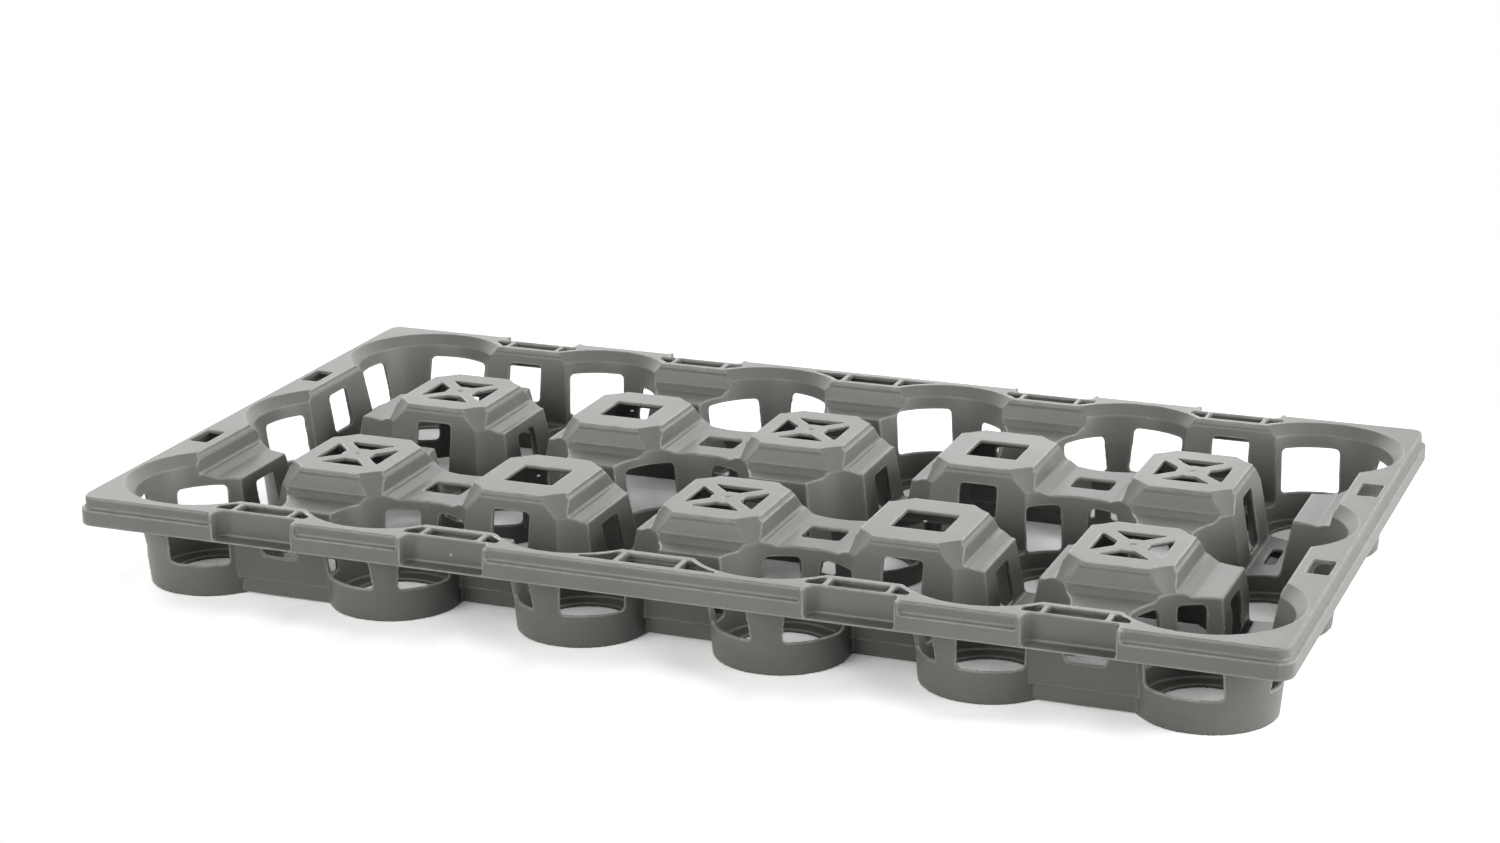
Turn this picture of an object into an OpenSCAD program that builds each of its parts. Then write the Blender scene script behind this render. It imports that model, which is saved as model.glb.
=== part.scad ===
// Carrying tray for round plant pots: six columns and three rows of open cells in one thin moulding.
// The tray stands on the ground plane, with the origin below its middle, X along its length and Z up.
// Columns are numbered from the left and rows a, b, c from the front. The pattern repeats when the
// tray is turned half round, so the back half is the front half turned by 180 degrees.

/* [Tray] */
// Length over the rim's lower band
tray_l = 562; // [560:1:574]
// Width over the rim's lower band
tray_w = 314.4; // [313.4:0.2:322]
// Height from the ground to the rim's top
tray_h = 48; // [46:0.5:56]
// Thickness of the moulding's walls
wall_t = 1.8; // [1.4:0.1:2.2]

/* [Cells] */
// How far the half pitch of an outer column reaches past the rim's upper band
tuck_x = 4.8; // [4:0.1:7]
// How far the same distance reaches past that band from an outer row
tuck_y = 1.9; // [1:0.1:2.8]
// Least distance between a cell's room and the line half way between two rows
row_clear = 1.5; // [0:0.1:4]
// Distance from a cell's inner face at the ground to the next column's half of the pitch
foot_gap = 18.5; // [17.5:0.1:19.5]
// The same distance at the top of the base ring
ring_gap = 17.2; // [16.3:0.1:17.8]
// The same distance where the wall's slope would reach the rim's top
top_gap = 11.1; // [10.3:0.1:12.3]
// Height of the unbroken base ring
ring_h = 15; // [13:0.5:17]
// Width of a cell's floor lip, from the wall's inner face to the hole
floor_lip_w = 7.4; // [4:0.2:11]
// Distance from the flare at the rim's top to the next column's half of the pitch
rim_flare_gap = 7.2; // [6.8:0.1:7.9]
// How deep the flares cut into the corners of the turrets' top plates
corner_cut = 6.7; // [5.3:0.1:7.3]

/* [Turrets] */
// Distance from a top plate's edge to the cell centres, along the tray
plate_gap_x = 23.5; // [22.3:0.1:25.3]
// Distance from a top plate's edge to the cell centres, across the tray
plate_gap_y = 26.9; // [25.9:0.1:28.4]
// Drop from the top to the small ledge below a top plate's edge
plate_drop = 2.4; // [1.5:0.1:3.5]
// Drop from the top to the ledge half way down a stepped side
ledge_drop = 9.6; // [8:0.1:10.2]
// Drop from the top to the flat platforms and bridges
platform_drop = 11.7; // [11:0.1:13]
// Distance from a long platform's edge to the cell centres
long_gap = 1.4; // [0.4:0.1:3.9]
// Distance from the edge of the middle column's platforms to the cell centres
mid_gap = 8.9; // [6.9:0.1:10.9]
// Distance from a short platform's edge to the cell centres, along the tray
short_gap = 12.1; // [10.3:0.1:12.8]
// The same distance for the broad platform that faces an end wall
broad_gap = 2; // [0.3:0.1:4.3]
// Width of a brace's arms
brace_arm_w = 6; // [4:0.2:7]

/* [Bridges and floors] */
// Half length of a bridge between two turrets
bridge_half = 11.3; // [10.3:0.1:12]
// Distance from the ends of a bridge's slot to those of the bridge
bridge_slot_end = 1.9; // [0.9:0.1:4]
// Half width of a bridge's slot across the tray
bridge_slot_y = 7.5; // [5:0.1:9]
// Height of the low floors between facing platforms
low_z = 10.5; // [9.5:0.1:12]
// Width of the drain slot in a low floor
drain_w = 5.1; // [4:0.1:7]
// Length of the drain slot in a low floor
drain_l = 21.4; // [16:0.2:24]
// Height of the gap below the cross ribs under a low floor
rib_gap = 0.8; // [0.4:0.1:1.5]

/* [Rim] */
// Drop from the top to the step between the rim's bands
band_drop = 5.7; // [4.5:0.1:6.2]
// Drop from the top to the rim's bottom edge
skirt_drop = 13.5; // [12:0.1:15]
// How far the lower band stands out from the upper one
band_step = 2; // [1.5:0.1:2.2]
// Radius of the rim's corners
rim_corner_r = 6; // [4:0.5:8]
// Width of the top shelf along the long walls
shelf_long = 19.2; // [18.2:0.1:19.7]
// Width of the top shelf along the end walls
shelf_end = 17; // [16:0.1:18]
// Distance from the long walls' platforms to the cell centres
wall_gap = 0.2; // [0:0.1:3.2]
// Distance from the middle pilaster's platform to the cell centres
wall_gap_mid = 7.2; // [5.4:0.1:9.4]
// Distance from the end walls' platform to the cell centres
end_gap = 4.5; // [2.5:0.1:6.5]
// Half length of the recesses in the long walls' bands
recess_x = 20; // [17:0.5:22]
// Depth of those recesses below the upper band
recess_d = 5.7; // [4.5:0.1:6.2]
// Thickness of the floor of those recesses
recess_floor_t = 1; // [0.8:0.1:1.8]
// Half length of the pockets between the shelf's cross ribs
pocket_x = 12.9; // [11:0.1:14]
// Distance from the upper band's face to the pockets' inner edge
pocket_in = 15.7; // [14.7:0.1:16.2]
// Distance from the same face to the middle pilaster's pockets
pocket_out = 4.8; // [2.5:0.1:6]
// Thickness of the cross ribs
truss_rib_t = 2.2; // [1.6:0.1:3]
// Distance from the ends of a recessed pocket group to its middle
truss_x = 23; // [21:0.5:25]
// The same distance at the middle pilaster, which has no recess
truss_mid_x = 33; // [30:0.5:34]
// Half width of the slots in the end walls' shelf, along the tray
end_slot_x = 4.9; // [4:0.1:5.5]
// Half width of those slots across the tray
end_slot_y = 9.1; // [8:0.1:10]
// Distance from the upper band's face to the middle of those slots
end_slot_in = 7.4; // [7:0.1:8.5]

/* [Windows] */
// Height of the sill of the windows in the outer cells' walls
sill_z = 15.6; // [15:0.1:18]
// Half width of the windows in the turrets' walls
window_x = 9; // [7:0.1:10]
// Height of the sill of a plain turret wall's window
wall_sill_z = 13; // [12:0.1:15]
// Drop from the top to that of a plain turret wall's window
wall_head_drop = 8; // [6:0.1:10]
// Height of the sill of a platform end's window
end_sill_z = 12.3; // [12:0.1:15]
// Drop from the top to that of a platform end's window
end_head_drop = 17; // [16:0.1:20]
// Height of the sill of the windows in the rim's panels
panel_sill_z = 21.3; // [18:0.1:23]
// Drop from the top to that of the windows in the rim's panels
panel_head_drop = 7.4; // [6:0.1:10]
// How far the last front pilaster's window stands off the pilaster's middle
corner_window_off = 1.2; // [0:0.1:1.8]
// Radius of the windows' corners
window_r = 2; // [1:0.1:3]

/* [Hidden] */
cols = 6;
rows = 3;
row_letters = "abc";
turret_cols = cols - 1;
mid_col = (cols + 1) / 2;
mid_row = (rows + 1) / 2;

// Names of the pieces

// Overrun of cutters past what they cut
over = 1;
// Upper band's faces and the planes that part the rim from its pilasters
band_x = tray_l / 2 - band_step;
band_y = tray_w / 2 - band_step;
// Distance between cell centres along and across the tray, with the room for a cell about its centre
// and the distance from the upper band to the outer cells' centres
pitch_x = 2 * (band_x + tuck_x) / cols;
cell_room = min(pitch_x / 2, (band_y + tuck_y - row_clear * (rows - 1)) / rows);
end_row = pitch_x / 2 - tuck_x;
side_row = cell_room - tuck_y;
pitch_y = 2 * (band_y - side_row) / (rows - 1);
// Inner radius of a cell at three heights, of the hole in its floor and of the flares at its top
cell_r_foot = cell_room - foot_gap;
cell_r_ring = cell_room - ring_gap;
cell_r_top = cell_room - top_gap;
floor_hole_r = cell_r_foot - floor_lip_w;
rim_flare_r = cell_room - rim_flare_gap;
turret_flare_r = norm([plate_gap_x, plate_gap_y]) + corner_cut;
// Heights of a raised block's ledges and platforms, and of the rim's bands
plate_z = tray_h - plate_drop;
ledge_z = tray_h - ledge_drop;
platform_z = tray_h - platform_drop;
band_z = tray_h - band_drop;
skirt_z = tray_h - skirt_drop;
// Half lengths of a top plate and of its openings
plate_x = pitch_x / 2 - plate_gap_x;
plate_y = pitch_y / 2 - plate_gap_y;
plate_hole_shares = [0.521, 0.4286];
brace_shares = [0.685, 0.5857];
hub_share = 0.485;
plate_hole_x = plate_x * plate_hole_shares[0];
plate_hole_y = plate_y * plate_hole_shares[1];
brace_x = plate_x * brace_shares[0];
brace_y = plate_y * brace_shares[1];
brace_hub_r = min(brace_x, brace_y) * hub_share;
// Reaches of the turrets' platforms, of the bridges and of the rim's platforms
reach_long = pitch_y / 2 - long_gap;
reach_mid = pitch_y / 2 - mid_gap;
reach_short = pitch_x / 2 - short_gap;
reach_broad = pitch_x / 2 - broad_gap;
bridge_start = pitch_x / 2 - bridge_half;
bridge_slot_x = bridge_half - bridge_slot_end;
wall_reach = side_row - wall_gap;
wall_reach_mid = side_row - wall_gap_mid;
end_reach = end_row - end_gap;
// Small runs of a raised block's side, outward from its top edge
plate_lean = 0.3;
plate_ledge = 1.1;
upper_run_y = 2.2;
ledge_run_y = 1.4;
lower_run_y = 2.5;
upper_run_x = 1.3;
ledge_run_x = 2;
lower_run_x = 4.5;
steps_y = [upper_run_y, ledge_run_y, lower_run_y];
steps_x = [upper_run_x, ledge_run_x, lower_run_x];
// Run over rise of the walls
plain_draft_share = 0.17;
end_draft_share = 0.16;
rim_flare_share = 1;
turret_flare_share = 0.82;
wall_slope = (cell_r_top - cell_r_ring) / (tray_h - ring_h);
// Kinds of turret side that have no reach of their own
plain = 0;
open = pitch_x;
// Reaches of the front turrets' sides in the order right, back, left, front
turret_sides = [
    [open, reach_long, plain, reach_long],
    [reach_short, plain, open, plain],
    [open, reach_mid, reach_short, reach_mid],
    [reach_short, reach_long, open, plain],
    [reach_broad, plain, reach_short, reach_long]
];
// Reaches of the front wall's pilasters
front_sides = [plain, wall_reach, wall_reach_mid, wall_reach, plain];
// Drops from the top to the cells' windows: under the rim, beside it and under the platforms
rim_head_drop = 11;
side_head_drop = 15.2;
deck_head_drop = 16.5;
// Sill of the two windows that face the middle turrets from the long platforms
neck_sill_z = 7;
// A whole turn in the parts that bearings are given in
turn_share = 360;
// Windows of the cells in the front row and the left half of the middle row:
// bearing from and to, in those parts from the front towards the right, then the kind of window
cup_window_shares = [
    [
        [[351, 402, "rim"], [272, 317, "rim"], [198, 243, "end"]],
        [[316, 368, "rim"], [29, 76, "side"], [133, 170, "deck"],
         [185, 216, "deck"]],
        [[365, 417, "rim"], [307, 339, "side"]],
        [[306, 355, "rim"], [21, 76, "side"], [133, 170, "deck"],
         [185, 216, "deck"]],
        [[352, 404, "rim"], [301, 332, "side"]],
        [[67, 108, "rim"], [321, 385, "rim"], [194, 217, "end"],
         [232, 262, "end"]]
    ],
    [
        [[226, 272, "rim"]],
        [[15, 46, "deck"], [324, 353, "deck"]],
        [[204, 254, "deck"], [141, 173, "neck"]]
    ]
];
corner_steps = 4;
neck_reach_share = 0.58;
gate_r = 2;
gate_depth = 0.6;
gate_nub_r = 0.9;
gate_nub_h = 0.4;
recess_r = 3;
moulding = [0.47, 0.465, 0.44];
$fn = 96;

// Places of the cells and turrets
function cell_x(c) = (c - mid_col) * pitch_x;
function cell_y(r) = (r - mid_row) * pitch_y;
function turret_x(i) = cell_x(i) + pitch_x / 2;
function turret_y(j) = cell_y(j) + pitch_y / 2;

// Thickness of a leaning wall measured level, for a wall thickness of one
function lean(slope) = sqrt(1 + slope * slope);

// Height at which a flare leaves the cell's wall, on a face that lies t outside the inner one
function flare_z(r, slope, t) =
    tray_h - (r - cell_r_top + t * (lean(slope) - lean(wall_slope))) / (slope - wall_slope);

// Face of a cell's wall from the ring's top up past the rim, t outside the inner face
function cell_face(r, slope, t) =
    let (z = flare_z(r, slope, t), k = t * lean(wall_slope), f = t * lean(slope))
    [
        [cell_r_foot + t, 0],
        [cell_r_ring + k, ring_h],
        [cell_r_top + k - wall_slope * (tray_h - z), z],
        [r + f + slope * over, tray_h + over]
    ];

function reversed(list) = [for (n = [len(list) - 1:-1:0]) list[n]];

function mirrored(list) = [for (p = list) [-p[0], p[1]]];

// Outline of a raised block's side from its top edge e out and down past the ground,
// on a face that lies t inside the outer one
function side_line(e, steps, reach, t) =
    let (a = e + plate_lean, b = a + plate_ledge, c = b + steps[0], d = c + steps[1], f = d + steps[2])
    reach == plain
    ? [
        [e - t, tray_h - t],
        [a - t, plate_z - t],
        [b - t, plate_z - t],
        [b + plain_draft_share * (plate_z + over) - t, -over - t]
    ]
    : [
        [e - t, tray_h - t],
        [a - t, plate_z - t],
        [b - t, plate_z - t],
        [c - t, ledge_z - t],
        [d - t, ledge_z - t],
        [f - t, platform_z - t],
        [reach - t, platform_z - t],
        [reach + end_draft_share * (platform_z + over) - t, -over - t]
    ];

// Distance of a side's lowest wall from the block's datum at height z
function face_at(e, reach, z) =
    reach == plain
    ? e + plate_lean + plate_ledge + plain_draft_share * (plate_z - z)
    : reach + end_draft_share * (platform_z - z);

// Rounded rectangle about the origin
function round_rect(w, h, r) = [
    for (q = [0:3], s = [0:corner_steps])
        let (a = 90 * (q + s / corner_steps), sx = q == 0 || q == 3 ? 1 : -1, sy = q < 2 ? 1 : -1)
        [sx * (w / 2 - r) + r * cos(a), sy * (h / 2 - r) + r * sin(a)]
];

// Extrudes an outline drawn over X and Z along Y, about the middle
module along_y(length) {
    rotate([90, 0, 0]) linear_extrude(height = length, center = true) children();
}

// Extrudes an outline drawn over Y and Z along X, about the middle
module along_x(length) {
    rotate([90, 0, 90]) linear_extrude(height = length, center = true) children();
}

// Solid that fills a cell out to the outer face of its wall
module cell_plug(r, slope) {
    face = cell_face(r, slope, wall_t);
    rotate_extrude()
        polygon(concat([[0, -over], [cell_r_foot + wall_t, -over]], face, [[0, tray_h + over]]));
}

// Part of a cell's wall with its floor lip, over an arc of the cell
module cell_shell(r, slope, start, sweep) {
    outer = cell_face(r, slope, wall_t);
    inner = cell_face(r, slope, 0);
    lip = [
        [cell_r_foot + (cell_r_ring - cell_r_foot) * wall_t / ring_h, wall_t],
        [floor_hole_r, wall_t],
        [floor_hole_r, 0]
    ];
    outline = concat(outer, [inner[3], inner[2], inner[1]], lip);
    rotate([0, 0, start]) rotate_extrude(angle = sweep) polygon(outline);
}

// Window cutter that runs from a cell's middle out through its wall
module cell_window(from, to, kind) {
    sill = kind == "neck" ? neck_sill_z : kind == "rim" || kind == "side" ? sill_z : low_z;
    head = tray_h - (kind == "rim" ? rim_head_drop : kind == "side" || kind == "end" ? side_head_drop
        : deck_head_drop);
    mid_z = (sill + head) / 2;
    r = cell_r_ring + wall_slope * (mid_z - ring_h);
    rotate([0, 0, (from + to) / 2]) translate([0, 0, mid_z]) rotate([90, 0, 0])
        linear_extrude(height = turret_flare_r)
            polygon(round_rect(2 * r * sin((to - from) / 2), head - sill, window_r));
}

// Raised block of a turret, with its platforms, on faces that lie t inside the outer ones
module turret_block(i, t) {
    s = turret_sides[i - 1];
    extra = t > 0 ? 2 * over : 0;
    intersection() {
        along_y(pitch_y + extra) polygon(concat(
            side_line(plate_x, steps_x, s[0], t),
            reversed(mirrored(side_line(plate_x, steps_x, s[2], t)))
        ));
        along_x(pitch_x + extra) polygon(concat(
            side_line(plate_y, steps_y, s[1], t),
            reversed(mirrored(side_line(plate_y, steps_y, s[3], t)))
        ));
    }
}

// Raised block along a rim wall, drawn inward from the upper band's face
module wall_block(e, steps, reach, length, t) {
    line = side_line(e, steps, reach, t);
    out = t > 0 ? -over : 0;
    along_x(length) polygon(concat([[out, tray_h - t]], line, [[out, -over - t]]));
}

module at_front_wall(k) {
    translate([turret_x(k), -band_y, 0]) children();
}

module at_left_wall(j) {
    translate([-band_x, turret_y(j), 0]) rotate([0, 0, -90]) children();
}

module at_right_wall(j) {
    translate([band_x, turret_y(j), 0]) rotate([0, 0, 90]) children();
}

module front_block(k, t) {
    at_front_wall(k) wall_block(shelf_long, steps_y, front_sides[k - 1], pitch_x, t);
}

module left_block(j, t) {
    at_left_wall(j) wall_block(shelf_end, steps_x, j == 1 ? end_reach : plain, pitch_y, t);
}

module right_block(j, t) {
    at_right_wall(j) wall_block(shelf_end, steps_x, j == 1 ? plain : end_reach, pitch_y, t);
}

module turret_at(i, j) {
    translate([turret_x(i), turret_y(j), 0]) rotate([0, 0, j == 1 ? 0 : 180]) children();
}

// Block of any turret in its place
module placed_block(i, j, t) {
    turret_at(i, j) turret_block(j == 1 ? i : cols - i, t);
}

// Everything that a cell's wall may rise to, for the front row and the left half of the middle row
module cell_land(c, r) {
    translate([cell_x(c) - pitch_x / 2, cell_y(r) - pitch_y / 2, 0]) cube([pitch_x, pitch_y, low_z]);
    if (c > 1) placed_block(c - 1, r, 0);
    if (c < cols) placed_block(c, r, 0);
    if (r > 1 && c > 1) placed_block(c - 1, r - 1, 0);
    if (r > 1 && c < cols) placed_block(c, r - 1, 0);
    if (r == 1 && c > 1) front_block(c - 1, 0);
    if (r == 1 && c < cols) front_block(c, 0);
    if (c == 1) left_block(r, 0);
    if (c == 1 && r > 1) left_block(r - 1, 0);
    if (c == cols) right_block(r, 0);
    if (r == 1 && c == 1)
        translate([-band_x, -band_y, 0]) cube([band_x + cell_x(1), band_y + cell_y(1), tray_h]);
    if (r == 1 && c == cols)
        translate([cell_x(cols), -band_y, 0]) cube([band_x - cell_x(cols), band_y + cell_y(1), tray_h]);
}

// Arc of a cell that faces turrets: its start and its sweep
function turret_arc(c, r) =
    r == 1
    ? (c == 1 ? [0, 90] : c == cols ? [90, 90] : [0, 180])
    : (c == 1 ? [-90, 180] : [0, turn_share]);

// Cell of the front row or of the left half of the middle row
module front_cup(c, r) {
    arc = turret_arc(c, r);
    difference() {
        intersection() {
            translate([cell_x(c), cell_y(r), 0]) {
                cell_shell(turret_flare_r, turret_flare_share, arc[0], arc[1]);
                if (arc[1] < turn_share)
                    cell_shell(rim_flare_r, rim_flare_share, arc[0] + arc[1], turn_share - arc[1]);
            }
            cell_land(c, r);
        }
        translate([cell_x(c), cell_y(r), 0])
            for (w = cup_window_shares[r - 1][c - 1]) cell_window(w[0], w[1], w[2]);
    }
}

// Any cell: wall, base ring and floor lip
module cup(c, r) {
    turned = r > mid_row || (r == mid_row && c > cols / 2);
    color(moulding) rotate([0, 0, turned ? 180 : 0])
        front_cup(turned ? cols + 1 - c : c, turned ? rows + 1 - r : r);
}

// Plugs of the cells round a turret
module turret_plugs() {
    for (sx = [-1, 1], sy = [-1, 1])
        translate([sx * pitch_x / 2, sy * pitch_y / 2, 0]) cell_plug(turret_flare_r, turret_flare_share);
}

// Openings between the arms of a brace
module brace_cut() {
    difference() {
        translate([-brace_x, -brace_y, tray_h - wall_t - over])
            cube([2 * brace_x, 2 * brace_y, wall_t + 2 * over]);
        translate([0, 0, tray_h - wall_t - 2 * over]) cylinder(h = wall_t + 4 * over, r = brace_hub_r);
        for (a = [-1, 1])
            rotate([0, 0, a * atan2(brace_y, brace_x)]) translate([0, 0, tray_h])
                cube([4 * brace_x, brace_arm_w, 4 * (wall_t + over)], center = true);
    }
}

// Round dimple with a low nub in the middle of a brace, left by the moulding gate
module gate_cut() {
    translate([0, 0, tray_h - gate_depth]) difference() {
        cylinder(h = gate_depth + over, r = gate_r);
        cylinder(h = gate_nub_h, r = gate_nub_r);
    }
}

// Window through one side of a turret, drawn along +X from the middle
module side_window(reach) {
    sill = reach == plain ? wall_sill_z : end_sill_z;
    head = tray_h - (reach == plain ? wall_head_drop : end_head_drop);
    translate([pitch_x / 4, 0, (sill + head) / 2]) along_x(pitch_y)
        polygon(round_rect(2 * window_x, head - sill, window_r));
}

// Hollow turret with its platforms and end walls, open below
module front_turret(i) {
    s = turret_sides[i - 1];
    difference() {
        intersection() {
            turret_block(i, 0);
            translate([-pitch_x / 2, -pitch_y / 2, low_z - wall_t]) cube([pitch_x, pitch_y, tray_h]);
        }
        turret_block(i, wall_t);
        turret_plugs();
        if (i % 2 == 1) {
            brace_cut();
            gate_cut();
        } else {
            translate([-plate_hole_x, -plate_hole_y, tray_h - wall_t - over])
                cube([2 * plate_hole_x, 2 * plate_hole_y, wall_t + 2 * over]);
        }
        for (n = [0:3])
            if (s[n] != open) rotate([0, 0, 90 * n]) intersection() {
                side_window(s[n]);
                translate([plate_x / 2, -plate_y, 0]) cube([pitch_y, 2 * plate_y, tray_h]);
            }
        if (s[0] == open)
            translate([bridge_start, -pitch_y / 2, 0]) cube([pitch_x, pitch_y, tray_h]);
        if (s[2] == open)
            translate([-bridge_start - pitch_x, -pitch_y / 2, 0]) cube([pitch_x, pitch_y, tray_h]);
    }
}

module turret(i, j) {
    color(moulding) turret_at(i, j) front_turret(j == 1 ? i : cols - i);
}

// Slotted plate that joins turret i of row j to the next one
module bridge(i, j) {
    color(moulding) translate([cell_x(i + 1), turret_y(j), 0]) difference() {
        translate([bridge_start - pitch_x / 2, -pitch_y / 4, platform_z - wall_t])
            cube([pitch_x - 2 * bridge_start, pitch_y / 2, wall_t]);
        for (sy = [-1, 1])
            translate([0, sy * pitch_y / 2, 0]) cell_plug(turret_flare_r, turret_flare_share);
        translate([0, 0, platform_z - wall_t - over]) linear_extrude(height = wall_t + 2 * over)
            polygon(round_rect(2 * bridge_slot_x, 2 * bridge_slot_y, window_r));
    }
}

// Window through a rim wall whose shelf is e wide, off its middle by a given distance
module wall_window(e, reach, depth, off) {
    sill = reach == plain ? panel_sill_z : end_sill_z;
    head = tray_h - (reach == plain ? panel_head_drop : end_head_drop);
    translate([off, max(e, reach), (sill + head) / 2]) along_y(depth)
        polygon(round_rect(2 * window_x, head - sill, window_r));
}

// Inner wall of the rim, below and behind the rail, with the cells' walls left out
module wall_shell(e, steps, reach, has_window, off, pitch, row, length) {
    difference() {
        intersection() {
            wall_block(e, steps, reach, length, 0);
            translate([-length / 2, e - wall_t, low_z - wall_t]) cube([length, pitch, tray_h]);
        }
        wall_block(e, steps, reach, length + 2 * over, wall_t);
        for (sx = [-1, 1])
            translate([sx * length / 2, row, 0]) cell_plug(rim_flare_r, rim_flare_share);
        if (has_window) wall_window(e, reach, pitch / 4, off);
    }
}

module front_pilaster(k) {
    reach = front_sides[k - 1];
    off = k == turret_cols ? corner_window_off : 0;
    color(moulding) at_front_wall(k) wall_shell(
        shelf_long, steps_y, reach, reach == plain, off, pitch_y, band_y + cell_y(1), pitch_x
    );
}

module back_pilaster(k) {
    rotate([0, 0, 180]) front_pilaster(cols - k);
}

module end_wall(reach) {
    color(moulding)
        wall_shell(shelf_end, steps_x, reach, true, 0, pitch_x, band_x + cell_x(1), pitch_y);
}

// Outline of the rim's plan at a given inset from the upper band's face
function rim_plan(inset) =
    round_rect(2 * (band_x - inset), 2 * (band_y - inset), max(rim_corner_r - inset, wall_t));

// One level of the rim's ring: from one inset to another and from one height to another
module rim_level(outer, inner, z0, z1) {
    translate([0, 0, z0]) linear_extrude(height = z1 - z0) difference() {
        polygon(rim_plan(outer));
        polygon(rim_plan(inner));
    }
}

// Shelf on top of the rim, out to the upper band
module shelf() {
    translate([0, 0, tray_h - wall_t]) linear_extrude(height = wall_t) difference() {
        polygon(rim_plan(0));
        square([2 * (band_x - shelf_end + wall_t), 2 * (band_y - shelf_long + wall_t)], center = true);
    }
}

module rim_ring() {
    shelf();
    rim_level(0, wall_t, band_z, tray_h - wall_t);
    rim_level(-band_step, wall_t, band_z - wall_t, band_z);
    rim_level(-band_step, wall_t - band_step, skirt_z, band_z - wall_t);
}

// Recessed panel and its returns, before the recess is cut, inward from the upper band's face
module recess_panel() {
    translate([-recess_x - wall_t, -band_step, skirt_z])
        cube([2 * (recess_x + wall_t), band_step + recess_d + wall_t, tray_h - skirt_z]);
}

// Recess in front of the panel, with round inner corners, above its floor
module recess_cut() {
    deep = recess_d + band_step + 2 * recess_r;
    translate([0, recess_d - deep / 2, skirt_z + recess_floor_t])
        linear_extrude(height = tray_h - skirt_z - recess_floor_t + over)
            polygon(round_rect(2 * recess_x, deep, recess_r));
}

// Pockets in the shelf, between and beside the cross ribs
module pocket_cut(half, depth) {
    z0 = skirt_z - over;
    h = tray_h - z0 + over;
    translate([-pocket_x, depth, z0]) cube([2 * pocket_x, pocket_in - depth, h]);
    for (s = [0, 1])
        mirror([s, 0, 0]) translate([pocket_x + truss_rib_t, depth, z0])
            cube([half - pocket_x - truss_rib_t, pocket_in - depth, h]);
}

// Cross ribs between the pocket's inner edge and the outer wall
module truss_ribs(depth) {
    for (s = [0, 1])
        mirror([s, 0, 0]) translate([pocket_x, depth, platform_z])
            cube([truss_rib_t, pocket_in - depth + wall_t, tray_h - platform_z]);
}

// Rim along a long side: shelf, bands, recesses and cross ribs, mitred at the corners
module rail(turned) {
    a = tray_l / 2 + over;
    b = tray_w / 2 + over;
    color(moulding) rotate([0, 0, turned]) intersection() {
        difference() {
            union() {
                rim_ring();
                for (k = [1:turret_cols]) at_front_wall(k) {
                    if (k != (turret_cols + 1) / 2) recess_panel();
                    truss_ribs(k == (turret_cols + 1) / 2 ? pocket_out : recess_d + wall_t);
                }
            }
            for (k = [1:turret_cols]) at_front_wall(k) {
                if (k != (turret_cols + 1) / 2) {
                    recess_cut();
                    pocket_cut(truss_x, recess_d + wall_t);
                } else {
                    pocket_cut(truss_mid_x, pocket_out);
                }
            }
            for (c = [1:cols])
                translate([cell_x(c), cell_y(1), 0]) cell_plug(rim_flare_r, rim_flare_share);
        }
        linear_extrude(height = tray_h)
            polygon([[-a, -b], [a, -b], [a - b, 0], [b - a, 0]]);
    }
}

// Rim along an end, with its two slots
module end_rail(turned) {
    a = tray_l / 2 + over;
    b = tray_w / 2 + over;
    color(moulding) rotate([0, 0, turned]) intersection() {
        difference() {
            rim_ring();
            for (r = [1:rows])
                translate([cell_x(cols), cell_y(r), 0]) cell_plug(rim_flare_r, rim_flare_share);
            for (j = [1:rows - 1])
                translate([band_x - end_slot_in, turret_y(j), tray_h - wall_t - over])
                    linear_extrude(height = wall_t + 2 * over)
                        polygon(round_rect(2 * end_slot_x, 2 * end_slot_y, window_r / 2));
        }
        linear_extrude(height = tray_h) polygon([[a, -b], [a, b], [a - b, 0]]);
    }
}

// Low floor between two facing walls, with its drain slot and two ribs below, drawn along X
// from face a to face b. Each face is given by its place and its run over rise.
module neck_floor(a, b, slope_a, slope_b, half) {
    z0 = low_z - wall_t;
    difference() {
        union() {
            along_y(2 * half) polygon([
                [a + slope_a * wall_t, z0], [b - slope_b * wall_t, z0], [b, low_z], [a, low_z]
            ]);
            for (x = [a + slope_a * wall_t, b - slope_b * wall_t - wall_t])
                translate([x, -half, rib_gap]) cube([wall_t, 2 * half, low_z - rib_gap - wall_t / 2]);
        }
        translate([(a + b) / 2, 0, z0 - over]) linear_extrude(height = wall_t + 2 * over)
            polygon(round_rect(drain_w, drain_l, window_r));
    }
}

function draft_of(reach) = reach == plain ? plain_draft_share : end_draft_share;

// Floor along X between the face at x0 looking right and the face at x1 looking left
module floor_along(x0, reach_0, e0, x1, reach_1, e1, half) {
    neck_floor(
        x0 + face_at(e0, reach_0, low_z), x1 - face_at(e1, reach_1, low_z),
        draft_of(reach_0), draft_of(reach_1), half
    );
}

// Floors of the necks between the columns, from the front wall to the first row of turrets
module front_floors() {
    color(moulding) for (i = [1:turret_cols]) difference() {
        translate([turret_x(i), 0, 0]) rotate([0, 0, 90]) floor_along(
            -band_y, front_sides[i - 1], shelf_long,
            turret_y(1), turret_sides[i - 1][3], plate_y, neck_reach_share * pitch_x / 2
        );
        for (s = [0, 1])
            translate([cell_x(i + s), cell_y(1), 0]) cell_plug(rim_flare_r, rim_flare_share);
    }
}

// Floors of the necks between the two rows of turrets
module middle_floors() {
    color(moulding) for (i = [1:turret_cols]) difference() {
        translate([turret_x(i), 0, 0]) rotate([0, 0, 90]) floor_along(
            turret_y(1), turret_sides[i - 1][1], plate_y,
            turret_y(2), turret_sides[turret_cols - i][1], plate_y, neck_reach_share * pitch_x / 2
        );
        for (s = [0, 1])
            translate([cell_x(i + s), cell_y(2), 0]) cell_plug(rim_flare_r, rim_flare_share);
    }
}

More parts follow.
